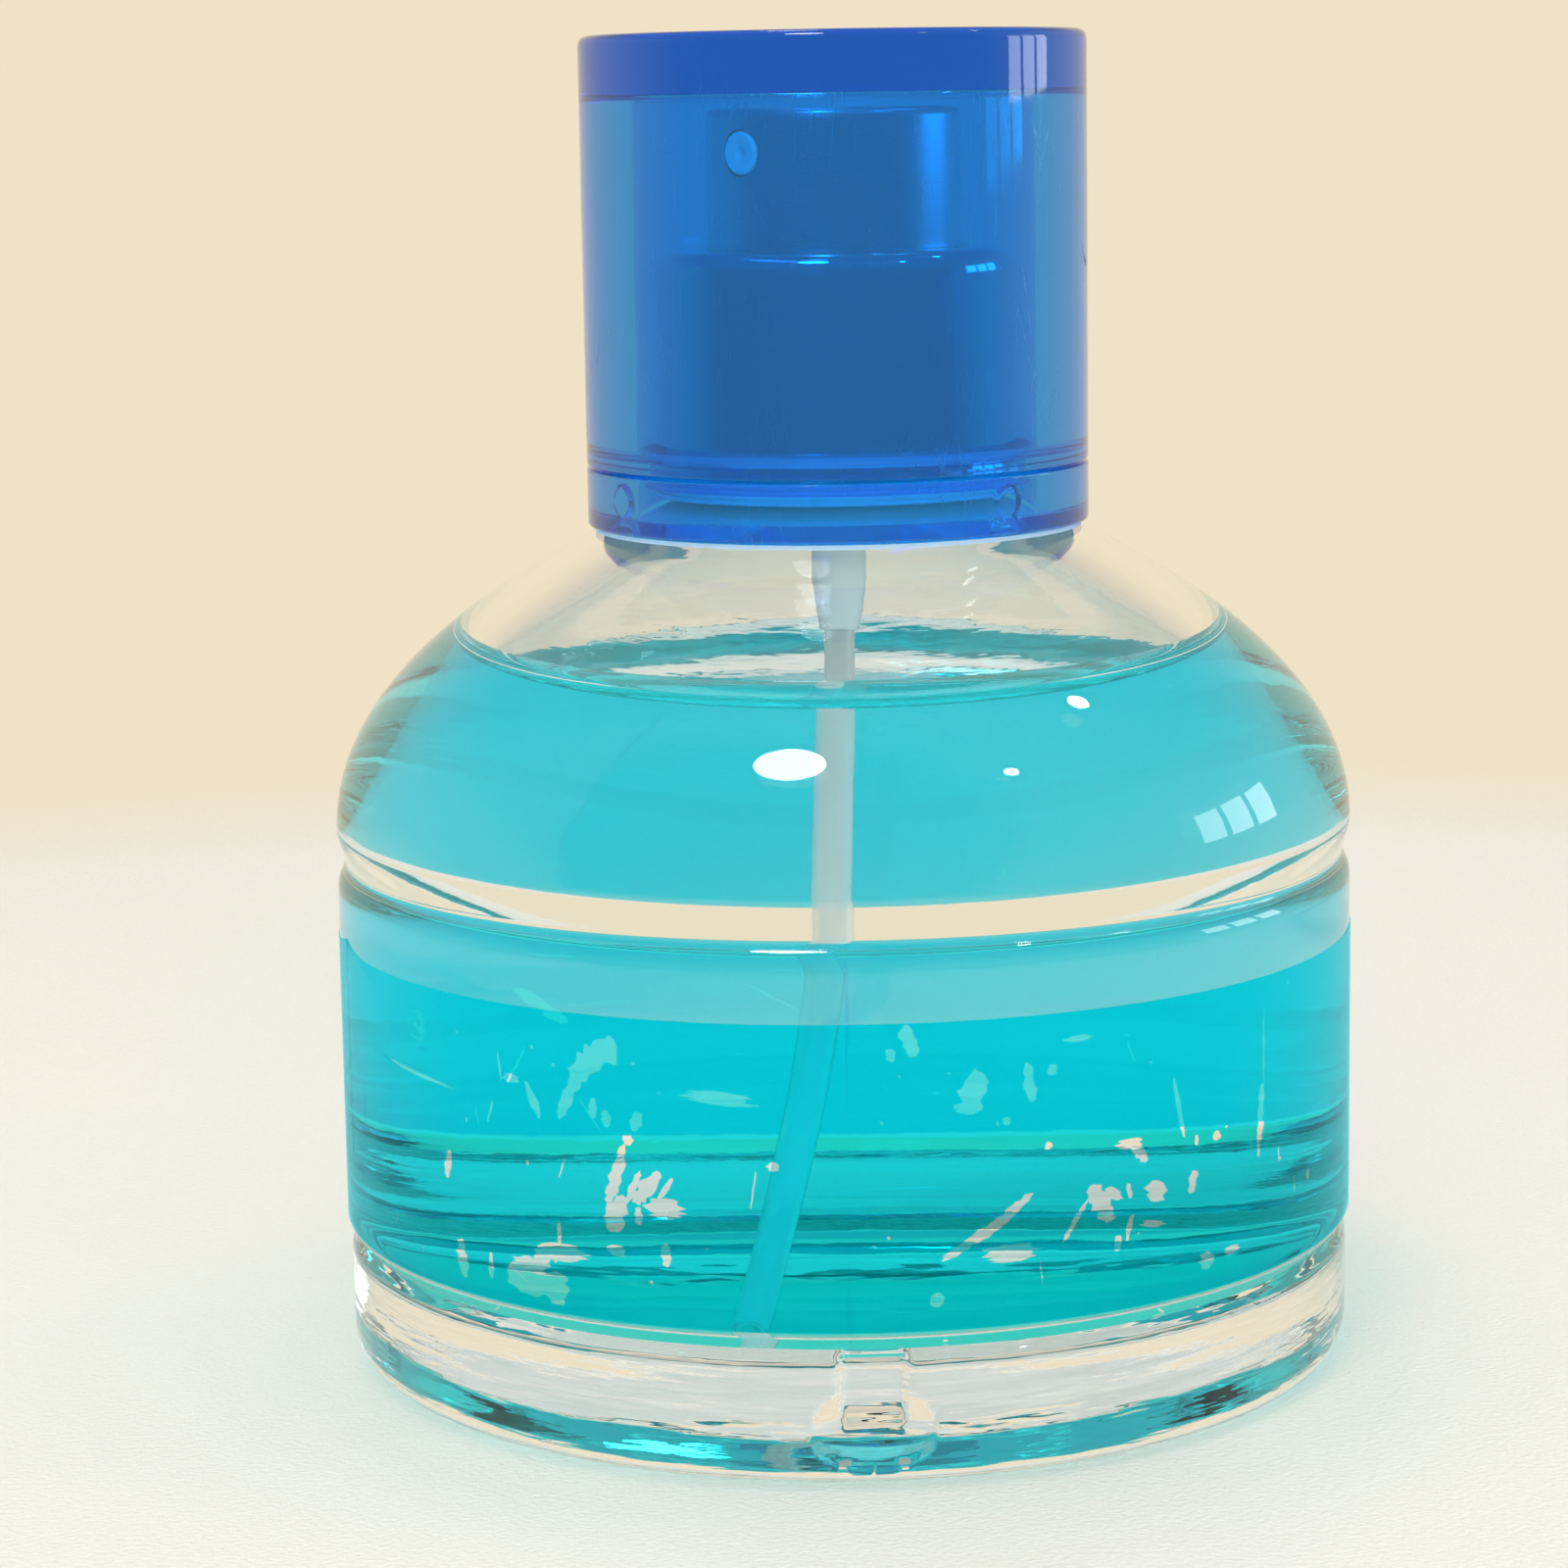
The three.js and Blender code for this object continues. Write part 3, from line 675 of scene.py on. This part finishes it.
def make_pump_housing():
    flange = HOUSING_TOP - 0.5
    bm = turned_mesh([(rounded([
        (0.9, HOUSING_BOTTOM), (1.15, HOUSING_BOTTOM, 0.1), (1.54, 43.6, 0.3), (1.54, 45.4),
        (1.62, 45.5, 0.05),
        (1.62, 45.8, 0.05), (4.4, 48, 0.4), (4.4, flange), (FLANGE_R, flange, 0.1),
        (FLANGE_R, HOUSING_TOP, 0.1),
        (3, HOUSING_TOP), (3, 47.7), (1.1, 47.7), (1.1, 46.3), (0.45, 46.3), (0.45, 45.9), (0.9, 45.9),
    ], closed=True), 0)], turn_angles(64))
    new_piece("pump_housing_clear", bm, [natural_plastic], "root", ["pump_housing"])


def make_return_spring():
    """A wound coil as tall as the CAD spring it stands in for."""
    wire, coil, turns, sides = 0.2, 2.15, 3.5, 12
    low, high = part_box("return_spring")
    bottom, top = low.z / MM, high.z / MM
    steps = round(40 * turns)
    bm = bmesh.new()
    rings = []
    for i in range(steps + 1):
        angle = 2 * math.pi * turns * i / steps
        outwards = Vector((math.cos(angle), math.sin(angle), 0))
        centre = coil * outwards + Vector((0, 0, bottom + wire + (top - bottom - 2 * wire) * i / steps))
        round_wire = [2 * math.pi * k / sides for k in range(sides)]
        upwards = Vector((0, 0, 1))
        spokes = [math.cos(t) * outwards + math.sin(t) * upwards for t in round_wire]
        rings.append([bm.verts.new(centre + wire * spoke) for spoke in spokes])
    for a, b in zip(rings, rings[1:]):
        for k in range(sides):
            bm.faces.new([a[k], a[(k + 1) % sides], b[(k + 1) % sides], b[k]])
    bm.faces.new(rings[0])
    bm.faces.new(rings[-1])
    bmesh.ops.recalc_face_normals(bm, faces=bm.faces)
    spring = new_piece("return_spring_wound", bm, [spring_steel], "root", ["return_spring"])
    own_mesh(spring)


def make_ferrule():
    wall = 0.4
    inner = FERRULE_R - wall
    bm = turned_mesh([(rounded([
        (inner, FERRULE_BOTTOM + wall, 0.1), (7, FERRULE_BOTTOM + wall, 0.1), (7, FERRULE_BOTTOM, 0.1),
        (FERRULE_R, FERRULE_BOTTOM, 0.5), (FERRULE_R, FERRULE_TOP, 0.7), (4.6, FERRULE_TOP, 0.1),
        (4.6, FERRULE_TOP - wall, 0.1), (inner, FERRULE_TOP - wall, 0.4),
    ], closed=True), 0)], turn_angles(96))
    new_piece("ferrule_rolled", bm, [ferrule_metal], "root", ["crimp_ferrule"])


# ------------------------------------------------------------------ collar, ring and overcap


def make_collar():
    wall = 0.45
    bm = turned_mesh([(rounded([
        (COLLAR_R - wall, COLLAR_BOTTOM, 0.1), (COLLAR_R, COLLAR_BOTTOM, 0.1), (COLLAR_R, COLLAR_TOP, 1.3),
        (7.6, COLLAR_TOP, 0.15), (7.6, COLLAR_TOP - wall, 0.1), (COLLAR_R - wall, COLLAR_TOP - wall, 0.9),
    ], steps=10, closed=True), 0)], turn_angles(160))
    new_piece("collar_bright", bm, [chrome], "root", ["metal_collar"])


def make_collar_insert():
    """The white clamp ring under the collar, with fine ridges round its foot."""
    ledge = INSERT_TOP - 0.6
    foot_top = INSERT_BOTTOM + 1.15
    ridges = []
    for i in range(4):
        z = INSERT_BOTTOM + 0.08 + 0.3 * i
        ridges += [(INSERT_R, z, 0.04), (INSERT_R, z + 0.16, 0.04)]
        ridges += [(INSERT_R - 0.2, z + 0.2), (INSERT_R - 0.2, z + 0.26)]
    bm = turned_mesh([(rounded([
        (8.5, INSERT_BOTTOM, 0.1), (INSERT_R - 0.2, INSERT_BOTTOM), *ridges[:-2], (INSERT_R - 0.2, foot_top),
        (9.35, foot_top, 0.1), (9.35, INSERT_TOP, 0.1), (7.6, INSERT_TOP, 0.1), (7.6, ledge, 0.1),
        (8.5, ledge, 0.1),
    ], steps=4, closed=True), 0)], turn_angles(128))
    new_piece("collar_insert_moulded", bm, [white_plastic], "root", ["collar_insert"])


BOSS_ANGLES = (-67, 48, 170.5)
BOSS_Z = 49.5


def with_bosses(radius, z, angle):
    """Sinks three round bosses in the ring's bore."""
    if radius > CAP_BORE + 0.05:
        return radius
    for boss in BOSS_ANGLES:
        turn = (angle - math.radians(boss) + math.pi) % (2 * math.pi) - math.pi
        away = math.hypot(turn * CAP_BORE, z - BOSS_Z)
        radius += 0.3 * smooth_step(away, 0.95, 0.15)
    return radius


def make_base_ring():
    bore_bottom = RING_BOTTOM + 0.95
    outside = rounded([
        (CAP_BORE, bore_bottom), (RING_R, RING_BOTTOM, 0.35), (RING_R, SEAM_Z, 0.12), (CAP_BORE, SEAM_Z),
    ], steps=8)
    bore = refined([Vector((CAP_BORE, SEAM_Z)), Vector((CAP_BORE, bore_bottom))], 0.09)
    angles = turn_angles(180, BOSS_ANGLES, 7, 0.4)
    bm = turned_mesh([(outside, 0), (bore, 0)], angles, with_bosses)
    new_piece("base_ring_clear", bm, [blue_plastic], "root", ["base_ring"])


def make_overcap():
    ceiling = 71.8
    lower = SEAM_Z + 0.2
    bm = turned_mesh([(rounded([
        (0, CAP_TOP), (CAP_R, CAP_TOP, 0.65), (CAP_R, lower, 0.12), (11, lower), (11, CAP_BOTTOM, 0.1),
        (10.65, CAP_BOTTOM, 0.1), (10.65, lower + 0.5), (CAP_BORE, lower + 1.1), (CAP_BORE, ceiling, 0.5),
        (0, ceiling),
    ], steps=8), 0)], turn_angles(192))
    new_piece("overcap_clear", bm, [blue_plastic], "cap", ["overcap"])


# ------------------------------------------------------------------ actuator

NOZZLE_ANGLE = math.radians(-44)
NOZZLE_Z = 68.6
NOZZLE_R = 1.2


def bored(bm, place, radius, inner, outer):
    """Cuts a round hole from the inner to the outer reach along an axis, through a bmesh in millimetres."""
    outline = [Vector((0, inner)), Vector((radius, inner)), Vector((radius, outer)), Vector((0, outer))]
    tool = turned_mesh([(outline, 0)], turn_angles(48))
    bmesh.ops.transform(tool, matrix=place, verts=tool.verts)
    pair = []
    for each in (bm, tool):
        mesh = bpy.data.meshes.new("boring")
        bmesh.ops.recalc_face_normals(each, faces=each.faces)
        each.to_mesh(mesh)
        each.free()
        pair.append(bpy.data.objects.new("boring", mesh))
        bpy.context.scene.collection.objects.link(pair[-1])
    cut = pair[0].modifiers.new("cut", "BOOLEAN")
    cut.object = pair[1]
    cut.solver = "EXACT"
    result = bpy.data.meshes.new_from_object(pair[0].evaluated_get(bpy.context.evaluated_depsgraph_get()))
    for each in pair:
        bpy.data.objects.remove(each)
    bored_bm = bmesh.new()
    bored_bm.from_mesh(result)
    bpy.data.meshes.remove(result)
    return bored_bm


def nozzle_place():
    """Carries an outline turned about Z to the nozzle's own axis."""
    turn = front_point(1, NOZZLE_ANGLE, 0).to_track_quat("Z", "Y").to_matrix().to_4x4()
    return Matrix.Translation((0, 0, NOZZLE_Z)) @ turn


def make_actuator():
    wall = 0.4
    inner = ACTUATOR_R - wall
    bm = turned_mesh([(rounded([
        (0, ACTUATOR_TOP), (ACTUATOR_R, ACTUATOR_TOP, 0.6), (ACTUATOR_R, ACTUATOR_BOTTOM, 0.1),
        (inner, ACTUATOR_BOTTOM, 0.1), (inner, ACTUATOR_TOP - wall, 0.4), (0, ACTUATOR_TOP - wall),
    ], steps=8), 0)], turn_angles(128))
    bm = bored(bm, nozzle_place(), NOZZLE_R + 0.08, 5, ACTUATOR_R + 1)
    new_piece("actuator_shell_satin", bm, [satin], "actuator", ["actuator_shell"])


def make_nozzle():
    reach = ACTUATOR_R + 0.06
    outline = rounded([
        (0, 4.9), (NOZZLE_R, 4.9), (NOZZLE_R, reach, 0.25), (0.3, reach - 0.08, 0.1),
        (0.2, reach - 0.5), (0, reach - 0.5),
    ])
    bm = turned_mesh([(outline, 0)], turn_angles(48))
    bmesh.ops.transform(bm, matrix=nozzle_place(), verts=bm.verts)
    new_piece("nozzle_moulded", bm, [white_plastic], "actuator", ["nozzle_insert"])


# ------------------------------------------------------------------ carried-over CAD nodes

CARRIED_OVER = {
    "neck_gasket": rubber,
    "stem_seal": rubber,
    "housing_lid": white_plastic,
    "pump_piston": white_plastic,
    "pump_stem": white_plastic,
    "actuator_core": white_plastic,
    "check_ball": spring_steel,
}


def dress_cad_nodes():
    for node, material in CARRIED_OVER.items():
        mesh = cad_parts[node].data
        mesh.materials.clear()
        mesh.materials.append(material)


# ------------------------------------------------------------------ stage, light and camera


CREAM = (0.871, 0.760, 0.565)  # the wall
CEILING = (0.42, 0.43, 0.43)
WALL_TOP = (0.3, 0.6)  # where the wall gives way to the ceiling, as the height of a direction
CLOTH_EDGE = (0.165, 0.215)  # where the cloth gives way to the wall, in metres from the axis
DIM_ROOM = (0.34, 0.32, 0.28)  # the room in front of the bottle


def wall_color(n, direction):
    """The studio in a direction from the bottle: a cream wall behind it and a dim room in front."""
    ahead = n.add("ShaderNodeSeparateXYZ", Vector=direction).outputs["Y"]
    behind = n.between(ahead, 0.0, 1.0, -0.35, 0.25)
    return n.blend_colors(behind, DIM_ROOM, CREAM)


def make_floor():
    """A pale cloth that gives way to the wall some way off, the same to the eye and to the bottle."""
    n = Nodes("floor")
    mesh = bpy.data.meshes.new("floor")
    half = 6.0
    corners = [(-half, -half, 0), (half, -half, 0), (half, half, 0), (-half, half, 0)]
    mesh.from_pydata(corners, [], [(0, 1, 2, 3)])
    floor = bpy.data.objects.new("floor", mesh)
    bpy.context.scene.collection.objects.link(floor)
    distance = n.add("ShaderNodeVectorMath", Vector=n.place)
    distance.operation = "LENGTH"
    far = n.between(distance.outputs["Value"], 0.0, 1.0, *CLOTH_EDGE)
    weave = n.noise(2600, 3.0)
    cloth = n.principled(Base_Color=(0.76, 0.74, 0.69), Roughness=0.9, Normal=n.bump(weave, 0.5, 0.0002))
    direction = n.add("ShaderNodeVectorMath", Vector=n.place)
    direction.operation = "NORMALIZE"
    wall_light = wall_color(n, direction.outputs["Vector"])
    wall = n.add("ShaderNodeEmission", Color=wall_light, Strength=1.0).outputs["Emission"]
    mesh.materials.append(n.surface(n.mix(far, cloth, wall)))


def make_world():
    """The wall and the dim room under a grey ceiling, the same to the eye and to the bottle."""
    n = Nodes("studio", world=True)
    bpy.context.scene.world = n.material
    height = n.add("ShaderNodeSeparateXYZ", Vector=n.place).outputs["Z"]
    above = n.between(height, 0.0, 1.0, *WALL_TOP)
    light = n.blend_colors(above, wall_color(n, n.place), CEILING)
    n.surface(n.add("ShaderNodeBackground", Color=light, Strength=1.0).outputs["Background"])


def area_light(name, place, target, size, power, color=(1, 1, 1), shape="RECTANGLE"):
    data = bpy.data.lights.new(name, "AREA")
    data.shape = shape
    data.size, data.size_y = size
    data.energy = power
    data.color = color
    light = bpy.data.objects.new(name, data)
    light.location = place
    light.rotation_mode = "QUATERNION"
    light.rotation_quaternion = (Vector(target) - Vector(place)).to_track_quat("-Z", "Y")
    light.visible_camera = False
    bpy.context.scene.collection.objects.link(light)
    return light


def make_lights():
    """A three-pane window to the right, lamps overhead, and a broad fill that only matte things show."""
    aim = Vector((0, 0, 0.035))
    middle = Vector((0.96, 0.14, 0.2))
    sideways = Vector((0, 0, 1)).cross(middle - aim).normalized()
    for column in (-1, 0, 1):
        place = middle + sideways * column * 0.16
        area_light(f"window_pane_{column + 2}", place, aim, (0.13, 0.2), 0.35, (0.93, 0.97, 1.0))
    lamps = {
        "ceiling_lamp": ((-0.19, -0.55, 1.1), 0.27, 3.6),
        "back_lamp": ((-0.1, 0.48, 1.0), 0.16, 0.7),
        "right_lamp": ((0.45, 0.10, 0.70), 0.05, 0.2),
        "front_lamp": ((0.41, -0.32, 0.66), 0.04, 0.15),
    }
    for name, (place, size, power) in lamps.items():
        area_light(name, place, aim, (size, size), power, (1.0, 0.98, 0.95), "DISK")
    fills = {
        "fill": ((0, 0, 1.4), 1.6, 7),
        "front_fill": ((-0.3, -1.1, 0.8), 1.0, 4),
        "low_fill": ((0.1, -0.7, 0.12), 0.3, 3.5),
    }
    for name, (place, size, power) in fills.items():
        light = area_light(name, place, aim, (size, size), power, (1.0, 0.99, 0.95), "DISK")
        light.visible_glossy = False
        light.visible_transmission = False


def make_camera():
    """The photographer's eye: level with the top of the cap, looking down and a little to the left."""
    data = bpy.data.cameras.new("camera")
    data.sensor_width = 36
    data.lens = 95.6
    data.clip_start = 0.01
    yaw, pitch, roll = -0.0141, 0.1639, -0.0161
    right = Vector((math.cos(yaw), -math.sin(yaw), 0))
    forward = Vector((math.sin(yaw) * math.cos(pitch), math.cos(yaw) * math.cos(pitch), -math.sin(pitch)))
    up = right.cross(forward)
    rolled_right = math.cos(roll) * right + math.sin(roll) * up
    rolled_up = -math.sin(roll) * right + math.cos(roll) * up
    rotation = Matrix((rolled_right, rolled_up, -forward)).transposed()
    camera = bpy.data.objects.new("camera", data)
    camera.matrix_world = Matrix.Translation((0, -0.236, 0.07166)) @ rotation.to_4x4()
    bpy.context.scene.collection.objects.link(camera)
    bpy.context.scene.camera = camera


def set_light_paths():
    """Enough bounces for light to cross the cap, both glass walls and the perfume."""
    scene = bpy.context.scene
    scene.view_settings.view_transform = "Standard"
    scene.cycles.max_bounces = 28
    scene.cycles.transmission_bounces = 28
    scene.cycles.glossy_bounces = 10
    scene.cycles.transparent_max_bounces = 40


make_glass()
make_perfume()
make_lacquer()
make_dip_tube()
make_pump_housing()
make_return_spring()
make_ferrule()
make_collar()
make_collar_insert()
make_base_ring()
make_overcap()
make_actuator()
make_nozzle()
dress_cad_nodes()
make_floor()
make_world()
make_lights()
make_camera()
set_light_paths()
